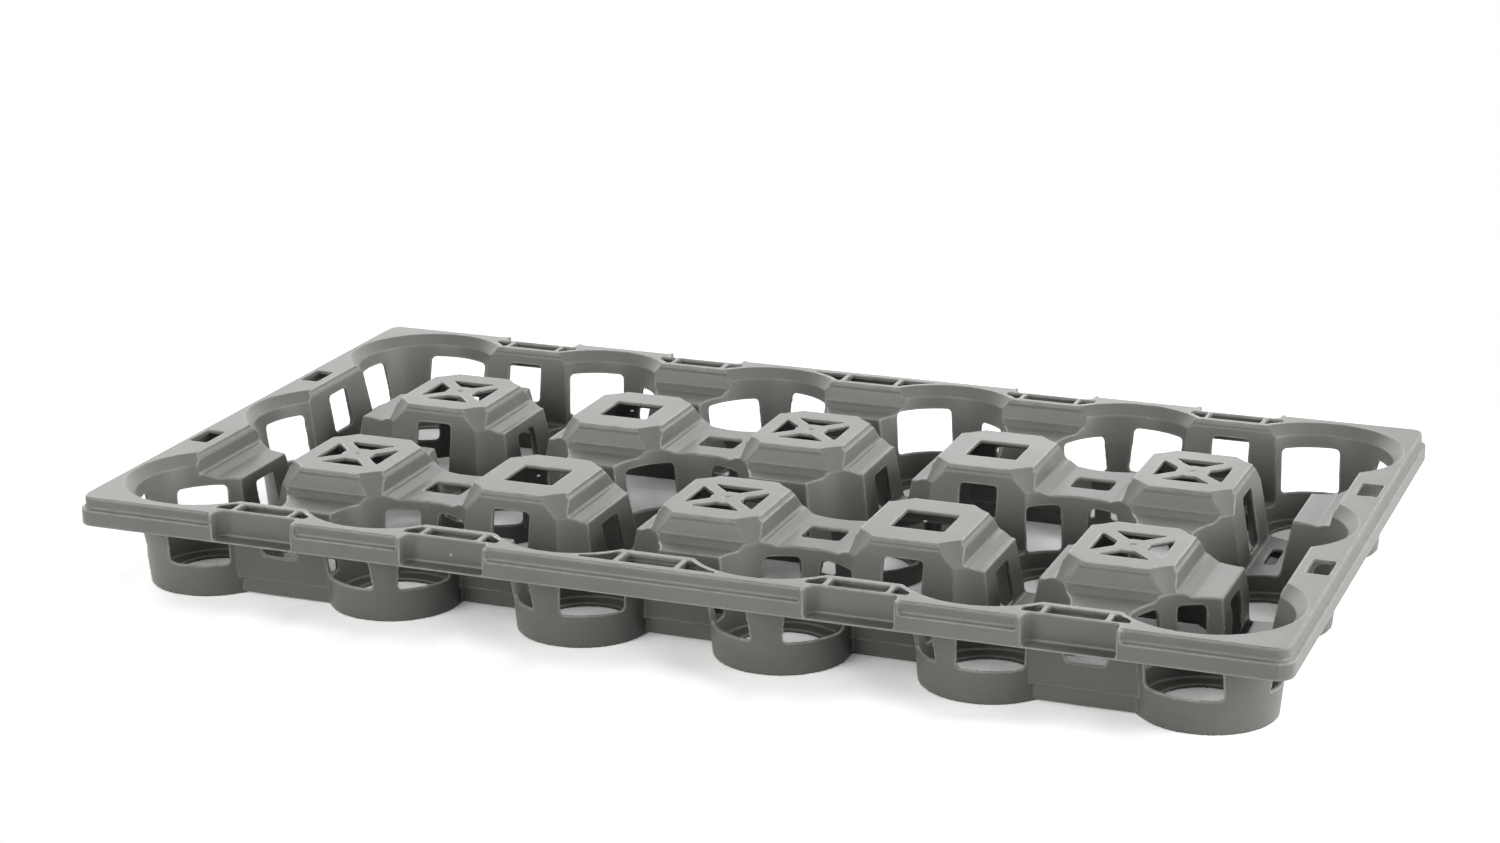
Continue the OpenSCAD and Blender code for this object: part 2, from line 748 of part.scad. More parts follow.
// Floors of the necks between the rows of cells, in the first row of turrets
module row_floors() {
    half = neck_reach_share * pitch_y / 2;
    difference() {
        translate([0, turret_y(1), 0]) {
            floor_along(
                -band_x, end_reach, shelf_end, turret_x(1), turret_sides[0][2], plate_x, half
            );
            for (i = [2, 4]) floor_along(
                turret_x(i), turret_sides[i - 1][0], plate_x,
                turret_x(i + 1), turret_sides[i][2], plate_x, half
            );
            floor_along(
                turret_x(turret_cols), turret_sides[turret_cols - 1][0], plate_x,
                band_x, plain, shelf_end, half
            );
        }
        for (c = [1, 3, 5, 6], r = [1, 2])
            translate([cell_x(c), cell_y(r), 0]) cell_plug(rim_flare_r, rim_flare_share);
    }
}

module end_floors() {
    color(moulding) for (a = [0, 180]) rotate([0, 0, a]) row_floors();
}

for (r = [1:rows], c = [1:cols])
    cup(c, r);
for (j = [1:rows - 1], i = [1:turret_cols])
    turret(i, j);
bridge(1, 1);  // bridge_a1
bridge(3, 1);  // bridge_a3
bridge(2, 2);  // bridge_b2
bridge(4, 2);  // bridge_b4
for (k = [1:turret_cols])
    front_pilaster(k);
for (k = [1:turret_cols])
    back_pilaster(k);
at_left_wall(1) end_wall(end_reach);  // left_shoulder
at_left_wall(2) end_wall(plain);  // left_panel
at_right_wall(1) end_wall(plain);  // right_panel
at_right_wall(2) end_wall(end_reach);  // right_shoulder
rail(0);  // front_rail
rail(180);  // back_rail
end_rail(0);  // right_rail
end_rail(180);  // left_rail
front_floors();  // front_neck_floors
middle_floors();  // middle_neck_floors
rotate([0, 0, 180]) front_floors();  // back_neck_floors
end_floors();  // end_neck_floors
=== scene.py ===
"""Looks of the pot carrying tray: its moulded skin, its plastic, the marks of the mould, and the studio."""

import functools
import math

import bpy
import numpy as np
from bpy.props import FloatProperty, FloatVectorProperty, IntProperty, PointerProperty
from bpy.types import Operator, Panel, PropertyGroup
from mathutils import Matrix, Vector
from mathutils.bvhtree import BVHTree


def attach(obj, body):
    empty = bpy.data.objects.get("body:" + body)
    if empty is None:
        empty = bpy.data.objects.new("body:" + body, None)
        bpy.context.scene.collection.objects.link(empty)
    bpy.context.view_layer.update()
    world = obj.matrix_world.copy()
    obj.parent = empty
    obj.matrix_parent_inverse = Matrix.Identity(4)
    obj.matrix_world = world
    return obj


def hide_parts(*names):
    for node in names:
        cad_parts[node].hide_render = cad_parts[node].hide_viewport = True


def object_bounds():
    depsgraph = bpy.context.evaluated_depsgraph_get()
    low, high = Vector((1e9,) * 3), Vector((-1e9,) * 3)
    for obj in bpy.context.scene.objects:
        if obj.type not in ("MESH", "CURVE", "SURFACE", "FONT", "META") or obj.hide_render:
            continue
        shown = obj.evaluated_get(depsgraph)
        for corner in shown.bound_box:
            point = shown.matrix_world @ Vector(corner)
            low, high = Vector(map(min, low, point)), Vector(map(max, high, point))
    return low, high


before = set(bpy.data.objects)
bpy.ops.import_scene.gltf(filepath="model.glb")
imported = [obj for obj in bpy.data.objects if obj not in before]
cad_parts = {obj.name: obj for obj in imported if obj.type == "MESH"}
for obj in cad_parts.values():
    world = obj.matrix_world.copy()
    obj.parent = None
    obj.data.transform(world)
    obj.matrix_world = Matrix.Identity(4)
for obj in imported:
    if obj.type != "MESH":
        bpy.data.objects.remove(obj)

bl_info = {
    "name": "Pot Carrying Tray",
    "version": (1, 0, 0),
    "blender": (4, 5, 0),
    "location": "View3D > Sidebar > Tray",
    "description": "Dresses the carrying tray's regions in one moulded skin of satin grey plastic",
    "category": "Add Mesh",
}

BODY = "root"
PLASTIC = "satin_grey_plastic"
CAD_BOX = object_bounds()
CAD_LOW, CAD_HIGH = Vector(CAD_BOX[0]), Vector(CAD_BOX[1])

# Depth of the round dimple in a brace, and the middle of the ejector pin's mark, in metres
DIMPLE_DEPTH = 0.0006
PIN_PLACE = (-0.0929, -0.1495, 0.0403)

# Triangles below which a patch of the skin counts as a crumb of another region
SMALL_PATCH = 16

# Repeats of the plastic's patterns in a metre, the same all ways or along X, Y and Z
CLOUD_SCALE = 16.0
FLOW_SCALE = (9.0, 34.0, 60.0)
DARK_FLECK_SCALE = 720.0
PALE_FLECK_SCALE = 510.0
PATCH_SCALE = 140.0
SCRATCH_SCALE = (40.0, 900.0, 40.0)
CROSS_SCRATCH_SCALE = (1100.0, 60.0, 60.0)
GRAIN_SCALE = 2600.0
DRAG_SCALE = (650.0, 650.0, 22.0)
TOOL_LINE_SCALE = (5.0, 5.0, 1100.0)
WAVE_SCALE = 46.0
TORN_SCALE = 1800.0

# Depths of the bumps in metres
GRAIN_DEPTH = 0.00004
DRAG_DEPTH = 0.00007
WAVE_DEPTH = 0.00035
TORN_DEPTH = 0.0001

# Refraction of polypropylene
PLASTIC_IOR = 1.49

# Rays for each look at the edges, the corners and the hollows, which places the painted highlight and the
# painted shade
EDGE_SAMPLES = 6
CORNER_SHADE_SAMPLES = 6
HOLLOW_SHADE_SAMPLES = 4

# Width of the camera's picture that the focal length is given for, in millimetres
SENSOR_WIDTH = 36.0

# Name, place and side of each square lamp in metres, and the setting that holds its power
LAMPS = (
    ("back_lamp", (0.2, 2.2, 1.5), 1.6, "back_power"),
    ("low_lamp", (-0.9, 2.4, 0.8), 1.4, "low_power"),
    ("left_lamp", (-1.9, 1.4, 1.1), 1.4, "left_power"),
    ("corner_lamp", (1.9, 1.6, 1.2), 1.4, "corner_power"),
    ("right_lamp", (2.2, -0.1, 0.8), 1.4, "right_power"),
    ("front_lamp", (-0.9, -2.1, 1.0), 1.6, "front_power"),
)


class TraySkinSettings(PropertyGroup):
    """How finely the moulding's skin is drawn, and how round its edges are."""

    grid: FloatProperty(
        name="Grid", description="Spacing of the grid that the skin is drawn on",
        default=0.0006, min=0.0003, max=0.002, unit="LENGTH", precision=5,
    )
    edge_passes: IntProperty(
        name="Edge Passes", description="Smoothing passes that round every edge of the moulding",
        default=1, min=0, max=20,
    )
    lip_passes: IntProperty(
        name="Lip Passes", description="Further smoothing passes for the rim's outer edges",
        default=6, min=0, max=60,
    )
    lip_width: FloatProperty(
        name="Lip Width", description="Width of the rim's outer zone that gets the further passes",
        default=0.0035, min=0.001, max=0.01, unit="LENGTH", precision=5,
    )
    faces: IntProperty(
        name="Faces", description="Triangles left in the whole skin",
        default=380000, min=50000, max=900000,
    )


class TrayPlasticSettings(PropertyGroup):
    """Colours and finish of the recycled plastic, and the reach of its painted highlight and painted shade.
    """

    grey: FloatVectorProperty(
        name="Grey", description="Main colour of the plastic",
        subtype="COLOR", size=3, min=0.0, max=1.0, default=(0.190, 0.186, 0.170),
    )
    # The rubbed grey also colours the painted highlight along the edges
    pale: FloatVectorProperty(
        name="Rubbed Grey", description="Colour of rubbed edges and scuffs",
        subtype="COLOR", size=3, min=0.0, max=1.0, default=(0.47, 0.464, 0.435),
    )
    fleck: FloatVectorProperty(
        name="Fleck", description="Colour of the dark flecks in the recycled plastic",
        subtype="COLOR", size=3, min=0.0, max=1.0, default=(0.070, 0.068, 0.062),
    )
    roughness: FloatProperty(
        name="Roughness", description="Middle roughness of the satin surface",
        subtype="FACTOR", default=0.41, min=0.0, max=1.0,
    )
    # Width of the pale band along the edges, which is rubbed wear and a painted highlight in one
    wear_and_highlight_width: FloatProperty(
        name="Rubbed Edge", description="Width of the rubbed band along the edges",
        default=0.0015, min=0.0, max=0.01, unit="LENGTH", precision=5,
    )
    # How far from a wall the painted shade in the corners reaches
    corner_shade_reach: FloatProperty(
        name="Corner Reach", description="How far from a wall the dirt in the corners reaches",
        default=0.0030, min=0.0005, max=0.02, unit="LENGTH", precision=5,
    )
    # Width up to which the inside of a hollow gets painted shade
    hollow_shade_reach: FloatProperty(
        name="Hollow Reach", description="How wide a hollow may be for its inside to stay dull and dark",
        default=0.07, min=0.01, max=0.2, unit="LENGTH", precision=4,
    )


class TrayMarkSettings(PropertyGroup):
    """Stubs and marks that the mould leaves on the tray."""

    stub_radius: FloatProperty(
        name="Stub Radius", description="Radius of the torn stub in the middle of a brace",
        default=0.0009, min=0.0003, max=0.003, unit="LENGTH", precision=5,
    )
    stub_height: FloatProperty(
        name="Stub Height", description="Height of that stub above the dimple round it",
        default=0.0006, min=0.0001, max=0.0006, unit="LENGTH", precision=5,
    )
    pin_radius: FloatProperty(
        name="Pin Radius", description="Radius of the ejector pin's mark on a recessed panel",
        default=0.0010, min=0.0003, max=0.003, unit="LENGTH", precision=5,
    )
    pin_height: FloatProperty(
        name="Pin Height", description="How far that mark stands proud of the panel",
        default=0.0005, min=0.0001, max=0.002, unit="LENGTH", precision=5,
    )
    tear: FloatVectorProperty(
        name="Torn Plastic", description="Colour of plastic that was torn or stretched white",
        subtype="COLOR", size=3, min=0.0, max=1.0, default=(0.52, 0.515, 0.49),
    )


class TrayCameraSettings(PropertyGroup):
    """The viewpoint."""

    place: FloatVectorProperty(
        name="Place", description="Place of the camera",
        subtype="TRANSLATION", unit="LENGTH", size=3, default=(0.5062, -1.3158, 0.5052),
    )
    azimuth: FloatProperty(
        name="Azimuth", description="Turn of the view from the tray's width towards its left end",
        subtype="ANGLE", default=math.radians(21.428),
    )
    elevation: FloatProperty(
        name="Elevation", description="Downward tilt of the view",
        subtype="ANGLE", default=math.radians(17.227),
    )
    roll: FloatProperty(
        name="Roll", description="Roll of the camera about its view",
        subtype="ANGLE", default=math.radians(-0.443),
    )
    lens: FloatProperty(
        name="Lens", description="Focal length in millimetres for a frame 36 mm wide",
        default=75.6, min=10.0, max=300.0,
    )


class TrayStudioSettings(PropertyGroup):
    """Floor and lamps."""

    floor_size: FloatProperty(
        name="Floor Size", description="Length of the floor's sides", default=24.0, min=2.0, unit="LENGTH",
    )
    floor_gain: FloatProperty(
        name="Floor Gain", description="How much brighter than plain white paper the floor is shown",
        default=2.1, min=1.0, max=3.0,
    )
    floor_bounce: FloatProperty(
        name="Floor Bounce", description="How pale the floor is in the light that it throws back",
        subtype="FACTOR", default=0.97, min=0.0, max=1.0,
    )
    shadow_lift: FloatProperty(
        name="Shadow Lift", description="White that the shadow on the floor keeps where it is seen",
        subtype="FACTOR", default=0.09, min=0.0, max=1.0,
    )
    shadow_start: FloatProperty(
        name="Shadow Start",
        description="Distance across the tray, from its middle, up to which the floor keeps the shadow",
        default=0.18, min=0.1, max=2.0, unit="LENGTH", precision=3,
    )
    shadow_end: FloatProperty(
        name="Shadow End", description="Distance at which the floor is plain white",
        default=0.40, min=0.1, max=4.0, unit="LENGTH", precision=3,
    )
    sky: FloatProperty(
        name="Sky", description="Strength of the light from all round", default=0.0, min=0.0, max=2.0,
    )
    back_power: FloatProperty(
        name="Back Power", description="Power of the lamp behind the tray, in watts",
        default=12.5, min=0.0,
    )
    low_power: FloatProperty(
        name="Low Back Power", description="Power of the lamp low behind the tray, in watts",
        default=11.0, min=0.0,
    )
    left_power: FloatProperty(
        name="Back Left Power", description="Power of the lamp at the back left, in watts",
        default=18.5, min=0.0,
    )
    corner_power: FloatProperty(
        name="Back Right Power", description="Power of the lamp at the back right, in watts",
        default=13.0, min=0.0,
    )
    right_power: FloatProperty(
        name="Right Power", description="Power of the lamp at the right, in watts",
        default=38.0, min=0.0,
    )
    front_power: FloatProperty(
        name="Front Power", description="Power of the lamp at the front left, in watts",
        default=31.0, min=0.0,
    )


# Skin


def joined_regions():
    """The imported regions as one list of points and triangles, with each triangle's region."""
    points, corners, owners, start = [], [], [], 0
    names = sorted(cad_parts)
    for index, name in enumerate(names):
        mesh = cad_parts[name].data
        mesh.calc_loop_triangles()
        place = np.empty(len(mesh.vertices) * 3, np.float32)
        mesh.vertices.foreach_get("co", place)
        corner = np.empty(len(mesh.loop_triangles) * 3, np.int32)
        mesh.loop_triangles.foreach_get("vertices", corner)
        points.append(place.reshape(-1, 3))
        corners.append(corner.reshape(-1, 3) + start)
        owners.append(np.full(len(corners[-1]), index, np.int32))
        start += len(points[-1])
    return names, np.concatenate(points), np.concatenate(corners), np.concatenate(owners)


def mesh_of(name, points, corners):
    """A mesh of triangles from arrays."""
    mesh = bpy.data.meshes.new(name)
    mesh.vertices.add(len(points))
    mesh.vertices.foreach_set("co", np.ascontiguousarray(points, np.float32).ravel())
    mesh.loops.add(len(corners) * 3)
    mesh.loops.foreach_set("vertex_index", np.ascontiguousarray(corners, np.int32).ravel())
    mesh.polygons.add(len(corners))
    mesh.polygons.foreach_set("loop_start", np.arange(0, len(corners) * 3, 3, dtype=np.int32))
    mesh.update(calc_edges=True)
    return mesh


def with_modifier(mesh, kind, **values):
    """The mesh that one modifier makes of another mesh, which is then removed."""
    piece = bpy.data.objects.new("skin_work", mesh)
    bpy.context.scene.collection.objects.link(piece)
    modifier = piece.modifiers.new("work", kind)
    for key, value in values.items():
        setattr(modifier, key, value)
    made = bpy.data.meshes.new_from_object(piece.evaluated_get(bpy.context.evaluated_depsgraph_get()))
    bpy.data.objects.remove(piece)
    bpy.data.meshes.remove(mesh)
    return made


def points_of(mesh):
    """The points of a mesh as an array."""
    place = np.empty(len(mesh.vertices) * 3, np.float32)
    mesh.vertices.foreach_get("co", place)
    return place.reshape(-1, 3)


def edges_of(mesh):
    """The edges of a mesh as pairs of point numbers."""
    pairs = np.empty(len(mesh.edges) * 2, np.int32)
    mesh.edges.foreach_get("vertices", pairs)
    return pairs.reshape(-1, 2)


def smoothed(place, pairs, passes, share):
    """Points moved towards the mean of their neighbours, as far as share allows, a few times over."""
    count = np.zeros(len(place))
    np.add.at(count, pairs.ravel(), 1)
    count = np.maximum(count, 1)[:, None]
    place = place.astype(np.float64)
    for _ in range(passes):
        total = np.stack([
            np.bincount(pairs[:, 0], place[pairs[:, 1], axis], len(place))
            + np.bincount(pairs[:, 1], place[pairs[:, 0], axis], len(place))
            for axis in range(3)
        ], axis=1)
        place += share[:, None] * 0.5 * (total / count - place)
    return place


def lip_zone(place, width):
    """How much of a point lies in the rim's outer top edge, from 0 to 1."""
    out_x = CAD_HIGH.x - np.abs(place[:, 0])
    out_y = CAD_HIGH.y - np.abs(place[:, 1])
    out = np.minimum(out_x, out_y)
    below = CAD_HIGH.z - place[:, 2]
    return np.clip(1.5 - out / width, 0, 1) * np.clip(1.5 - below / width, 0, 1)


@functools.lru_cache(maxsize=1)
def moulded_skin(grid, edge_passes, lip_passes, lip_width, faces):
    """One closed skin over all regions, with rounded edges: its points, triangles and normals, and the
    region of each triangle. It is made once and shared by all pieces, so that they meet without a seam."""
    names, points, corners, owners = joined_regions()
    grid = grid * 1
    skin = with_modifier(mesh_of("skin", points, corners), "REMESH", mode="VOXEL", voxel_size=grid)
    place, pairs = points_of(skin), edges_of(skin)
    place = smoothed(place, pairs, edge_passes, np.ones(len(place)))
    place = smoothed(place, pairs, lip_passes, lip_zone(place, lip_width))
    skin.vertices.foreach_set("co", place.astype(np.float32).ravel())
    skin.update()
    skin = with_modifier(skin, "DECIMATE", ratio=min(1.0, faces / (2 * len(skin.polygons))))
    skin.calc_loop_triangles()
    corner = np.empty(len(skin.loop_triangles) * 3, np.int32)
    skin.loop_triangles.foreach_get("vertices", corner)
    corner = corner.reshape(-1, 3)
    place = np.clip(points_of(skin), CAD_LOW, CAD_HIGH).astype(np.float64)
    bpy.data.meshes.remove(skin)
    tree = BVHTree.FromPolygons(points.tolist(), corners.tolist(), all_triangles=True)
    middles = place[corner].mean(axis=1)
    owner = np.array([owners[tree.find_nearest(Vector(middle))[2]] for middle in middles.tolist()])
    return place, corner, point_normals(place, corner), np.array(names)[settled(corner, owner)]


def settled(corner, owner):
    """The triangles' regions, with each small patch that lies apart from its region given to the one
    round it."""
    sides = np.sort(corner[:, [0, 1, 1, 2, 2, 0]].reshape(-1, 2), axis=1)
    order = np.lexsort(sides.T)
    shared = (sides[order[:-1]] == sides[order[1:]]).all(axis=1)
    pairs = np.stack([order[:-1][shared], order[1:][shared]], axis=1) // 3
    pairs = np.concatenate([pairs, pairs[:, ::-1]])
    inner = pairs[owner[pairs[:, 0]] == owner[pairs[:, 1]]]
    patch, before = np.arange(len(corner)), None
    while before is None or (patch != before).any():
        before = patch.copy()
        np.minimum.at(patch, inner[:, 0], before[inner[:, 1]])
        patch = patch[patch]
    small = np.bincount(patch, minlength=len(corner))[patch] < SMALL_PATCH
    border = pairs[small[pairs[:, 0]] & ~small[pairs[:, 1]]]
    taker = owner.copy()
    taker[patch[border[:, 0]]] = owner[border[:, 1]]
    return np.where(small, taker[patch], owner)


def point_normals(place, corner):
    """A normal for each point, from the areas and angles of the faces round it, so that flats stay flat."""
    edge_a, edge_b = place[corner[:, 1]] - place[corner[:, 0]], place[corner[:, 2]] - place[corner[:, 0]]
    normal = np.cross(edge_a, edge_b)
    total = np.zeros_like(place)
    for k in range(3):
        side_a = place[corner[:, (k + 1) % 3]] - place[corner[:, k]]
        side_b = place[corner[:, (k + 2) % 3]] - place[corner[:, k]]
        length = np.linalg.norm(side_a, axis=1) * np.linalg.norm(side_b, axis=1)
        angle = np.arccos(np.clip((side_a * side_b).sum(1) / np.maximum(length, 1e-12), -1, 1))
        np.add.at(total, corner[:, k], normal * angle[:, None])
    return total / np.maximum(np.linalg.norm(total, axis=1, keepdims=True), 1e-12)


def skin_pieces(context, kind):
    """The skin over each region whose name holds the given word, as a piece of its own."""
    settings = context.scene.tray_skin
    place, corner, normals, region = moulded_skin(
        settings.grid, settings.edge_passes, settings.lip_passes, settings.lip_width, settings.faces
    )
    names = [name for name in sorted(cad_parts) if kind in name]
    if not names:
        raise RuntimeError(f"the tray has no region named {kind}")
    material = bpy.data.materials.get(PLASTIC) or grey_plastic(context.scene.tray_plastic)
    for name in names:
        own = corner[region == name]
        if not len(own):
            raise RuntimeError(f"the skin has no face over {name}")
        used, local = np.unique(own, return_inverse=True)
        mesh = mesh_of(f"{name}_skin", place[used], local.reshape(-1, 3))
        mesh.polygons.foreach_set("use_smooth", np.ones(len(own), bool))
        mesh.normals_split_custom_set_from_vertices(normals[used].tolist())
        mesh.materials.append(material)
        piece = bpy.data.objects.new(f"{name}_skin", mesh)
        bpy.context.scene.collection.objects.link(piece)
        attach(piece, BODY)
        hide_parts(name)


def dome(centre, out, radius, height, rings=4, sides=14, rough=0.0):
    """Points and faces of a low dome on a face that looks along out, with an uneven top if rough."""
    out = Vector(out)
    across = out.orthogonal().normalized()
    up = out.cross(across)
    random = np.random.default_rng(7)
    points, faces = [], []
    for ring in range(rings):
        share = ring / rings
        for step in range(sides):
            turn = 2 * math.pi * step / sides
            reach = radius * math.cos(share * math.pi / 2) * (1 + rough * random.uniform(-0.2, 0.2))
            rise = height * math.sin(share * math.pi / 2) * (1 - rough * random.uniform(0, 0.4))
            level = across * math.cos(turn) + up * math.sin(turn)
            points.append(Vector(centre) + level * reach + out * rise)
    points.append(Vector(centre) + out * height * (1 - 0.3 * rough))
    for ring in range(rings - 1):
        for step in range(sides):
            a, b = ring * sides + step, ring * sides + (step + 1) % sides
            faces.append((a, b, b + sides, a + sides))
    last = (rings - 1) * sides
    faces += [(last + step, last + (step + 1) % sides, len(points) - 1) for step in range(sides)]
    faces.append(tuple(range(sides - 1, -1, -1)))
    return points, faces


def dimple_middles():
    """Middle of the round dimple in each brace, from the turrets' points that lie just below the top."""
    middles = []
    for name in sorted(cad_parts):
        place = points_of(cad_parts[name].data)
        below = CAD_HIGH.z - place[:, 2]
        near = place[(below > DIMPLE_DEPTH / 10) & (below < 1.2 * DIMPLE_DEPTH)]
        if "turret_" in name and len(near):
            middles.append(((near[:, :2].min(axis=0) + near[:, :2].max(axis=0)) / 2).tolist())
    return middles


def mark_piece(name, domes, material):
    """One piece of several domes, on the tray's body."""
    points, faces = [], []
    for own_points, own_faces in domes:
        faces += [tuple(index + len(points) for index in face) for face in own_faces]
        points += own_points
    mesh = bpy.data.meshes.new(name)
    mesh.from_pydata(points, [], faces)
    mesh.polygons.foreach_set("use_smooth", np.ones(len(faces), bool))
    mesh.materials.append(material)
    piece = bpy.data.objects.new(name, mesh)
    bpy.context.scene.collection.objects.link(piece)
    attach(piece, BODY)


# Plastic


def fill(tree, socket, value):
    """Links another node's output to a socket, or sets the socket's own value."""
    if isinstance(value, bpy.types.NodeSocket):
        tree.links.new(value, socket)
    else:
        socket.default_value = value


def node(tree, kind, **inputs):
    """A shader node with its inputs set from values or linked from sockets. A key is an input's name, or
    its number after an i. A key that starts with set_ is a setting of the node."""
    made = tree.nodes.new(kind)
    for key, value in inputs.items():
        if key.startswith("set_"):
            setattr(made, key[4:], value)
    for key, value in inputs.items():
        if key.startswith("set_"):
            continue
        numbered = key[0] == "i" and key[1:].isdigit()
        fill(tree, made.inputs[int(key[1:]) if numbered else key.replace("_", " ")], value)
    return made


def maths(tree, operation, first, second=0.0, clamp=False):
    """The result of a Math node."""
    return node(
        tree, "ShaderNodeMath", set_operation=operation, set_use_clamp=clamp, i0=first, i1=second
    ).outputs[0]


def ramp(tree, value, low, high):
    """A value rescaled from a range to 0 to 1 and clamped."""
    return node(
        tree, "ShaderNodeMapRange", set_clamp=True, Value=value, From_Min=low, From_Max=high
    ).outputs["Result"]


def mixed(tree, factor, first, second):
    """Two colours mixed."""
    return node(tree, "ShaderNodeMix", set_data_type="RGBA", i0=factor, i6=first, i7=second).outputs[2]


def stretched(tree, coordinates, scale):
    """Coordinates scaled along each axis."""
    return node(tree, "ShaderNodeMapping", Vector=coordinates, Scale=scale).outputs[0]


def noise(tree, coordinates, scale, detail=3.0, rough=0.5):
    """A noise pattern's value."""
    return node(
        tree, "ShaderNodeTexNoise", Vector=coordinates, Scale=scale, Detail=detail, Roughness=rough
    ).outputs[0]


def flecks(tree, coordinates, scale, low, high):
    """Small scattered spots, 1 in their middles."""
    cells = node(tree, "ShaderNodeTexVoronoi", Vector=coordinates, Scale=scale)
    near = ramp(tree, cells.outputs["Distance"], high, low)
    chance = node(tree, "ShaderNodeSeparateColor", Color=cells.outputs["Color"]).outputs[0]
    return maths(tree, "MULTIPLY", near, ramp(tree, chance, 0.72, 0.9))


def tinted(tree, colour, other, mask, share):
    """A colour with another laid over it where mask is 1, as strongly as share says."""
    return mixed(tree, maths(tree, "MULTIPLY", mask, share), colour, other)


def open_share(tree, reach, samples):
    """How much of what a point looks at is open within reach, from 0 to 1."""
    return node(tree, "ShaderNodeAmbientOcclusion", Distance=reach, set_samples=samples).outputs["AO"]


def grey_plastic(settings):
    """Satin grey recycled plastic: cloudy, flecked, pale at its edges from rubbing and from a painted
    highlight, with painted shade in its corners and hollows, and with the drag of the mould.
    """
    material = bpy.data.materials.new(PLASTIC)
    material.use_nodes = True
    tree = material.node_tree
    tree.nodes.clear()
    grey, pale, fleck = ((*colour, 1.0) for colour in (settings.grey, settings.pale, settings.fleck))
    at = node(tree, "ShaderNodeTexCoord").outputs["Object"]
    surface = node(tree, "ShaderNodeNewGeometry")
    facing = node(tree, "ShaderNodeSeparateXYZ", Vector=surface.outputs["Normal"]).outputs[2]
    upward = ramp(tree, facing, 0.55, 0.95)
    side = maths(tree, "SUBTRACT", 1.0, upward)

    # Cloudy and streaky grey of a melt with recycled content, with dark and pale flecks
    clouds = noise(tree, at, CLOUD_SCALE, 4.0, 0.55)
    flow = noise(tree, stretched(tree, at, FLOW_SCALE), 1.0, 3.0, 0.6)
    darker, lighter = (tuple(share * value for value in settings.grey) + (1.0,) for share in (0.88, 1.12))
    colour = mixed(tree, ramp(tree, clouds, 0.3, 0.7), darker, lighter)
    colour = tinted(tree, colour, pale, ramp(tree, flow, 0.52, 0.75), 0.12)
    colour = tinted(tree, colour, fleck, flecks(tree, at, DARK_FLECK_SCALE, 0.10, 0.28), 0.42)
    colour = tinted(tree, colour, pale, flecks(tree, at, PALE_FLECK_SCALE, 0.08, 0.22), 0.20)

    # Edges that stand out are made pale, partly as rubbed wear and partly as a painted highlight, and
    # corners and the insides of hollows are darkened with painted shade
    bevel = node(tree, "ShaderNodeBevel", Radius=settings.wear_and_highlight_width, set_samples=EDGE_SAMPLES)
    alike = node(
        tree, "ShaderNodeVectorMath", set_operation="DOT_PRODUCT",
        i0=bevel.outputs[0], i1=surface.outputs["True Normal"],
    ).outputs["Value"]
    # Pale band on edges that stand out: partly rubbed wear, partly a painted highlight
    edge = ramp(tree, maths(tree, "SUBTRACT", 1.0, alike), 0.004, 0.05)
    room = open_share(tree, settings.corner_shade_reach, CORNER_SHADE_SAMPLES)
    out = maths(tree, "MULTIPLY", edge, ramp(tree, room, 0.72, 0.95))
    # Painted shade: the colour darkens towards the fleck colour in corners, where walls close in
    corner = ramp(tree, room, 0.62, 0.30)
    patchy = maths(tree, "ADD", ramp(tree, noise(tree, at, PATCH_SCALE, 3.0, 0.6), 0.35, 0.68), 0.45)
    colour = tinted(tree, colour, fleck, corner, 0.45)
    # Painted shade: the insides of hollows darken strongly towards the fleck colour
    hollow = open_share(tree, settings.hollow_shade_reach, HOLLOW_SHADE_SAMPLES)
    colour = tinted(tree, colour, fleck, ramp(tree, hollow, 0.50, 0.12), 0.92)
    colour = tinted(tree, colour, pale, maths(tree, "MULTIPLY", out, patchy, True), 0.85)

    # Rub marks from stacking, on the faces that look up
    scratch = noise(tree, stretched(tree, at, SCRATCH_SCALE), 1.0, 2.0, 0.5)
    cross = noise(tree, stretched(tree, at, CROSS_SCRATCH_SCALE), 1.0, 2.0, 0.5)
    rubbed = maths(tree, "MAXIMUM", ramp(tree, scratch, 0.66, 0.76), ramp(tree, cross, 0.68, 0.78))
    rubbed = maths(tree, "MULTIPLY", maths(tree, "MULTIPLY", rubbed, upward), 0.14)
    colour = mixed(tree, rubbed, colour, pale)

    satin = maths(tree, "MULTIPLY", maths(tree, "SUBTRACT", clouds, 0.5), 0.18)
    satin = maths(tree, "ADD", satin, settings.roughness)
    satin = maths(tree, "SUBTRACT", satin, maths(tree, "MULTIPLY", out, 0.08))
    satin = maths(tree, "SUBTRACT", satin, maths(tree, "MULTIPLY", rubbed, 0.30), clamp=True)

    # Fine grain, the drag of the mould down the sides, tool lines along the rails and slow sink waves
    grain = noise(tree, at, GRAIN_SCALE, 2.0, 0.6)
    drag = noise(tree, stretched(tree, at, DRAG_SCALE), 1.0, 2.0, 0.5)
    lines = noise(tree, stretched(tree, at, TOOL_LINE_SCALE), 1.0, 2.0, 0.5)
    waves = noise(tree, at, WAVE_SCALE, 2.0, 0.5)
    sides = maths(tree, "MULTIPLY", maths(tree, "ADD", drag, lines), side)
    bump = node(tree, "ShaderNodeBump", Strength=0.35, Distance=GRAIN_DEPTH, Height=grain)
    bump = node(
        tree, "ShaderNodeBump", Strength=0.30, Distance=DRAG_DEPTH, Height=sides, Normal=bump.outputs[0]
    )
    bump = node(
        tree, "ShaderNodeBump", Strength=0.5, Distance=WAVE_DEPTH, Height=waves, Normal=bump.outputs[0]
    )

    shader = node(
        tree, "ShaderNodeBsdfPrincipled",
        Base_Color=colour, Roughness=satin, IOR=PLASTIC_IOR, Normal=bump.outputs[0],
    )
    output = node(tree, "ShaderNodeOutputMaterial")
    tree.links.new(shader.outputs[0], output.inputs["Surface"])
    material.diffuse_color = grey
    return material


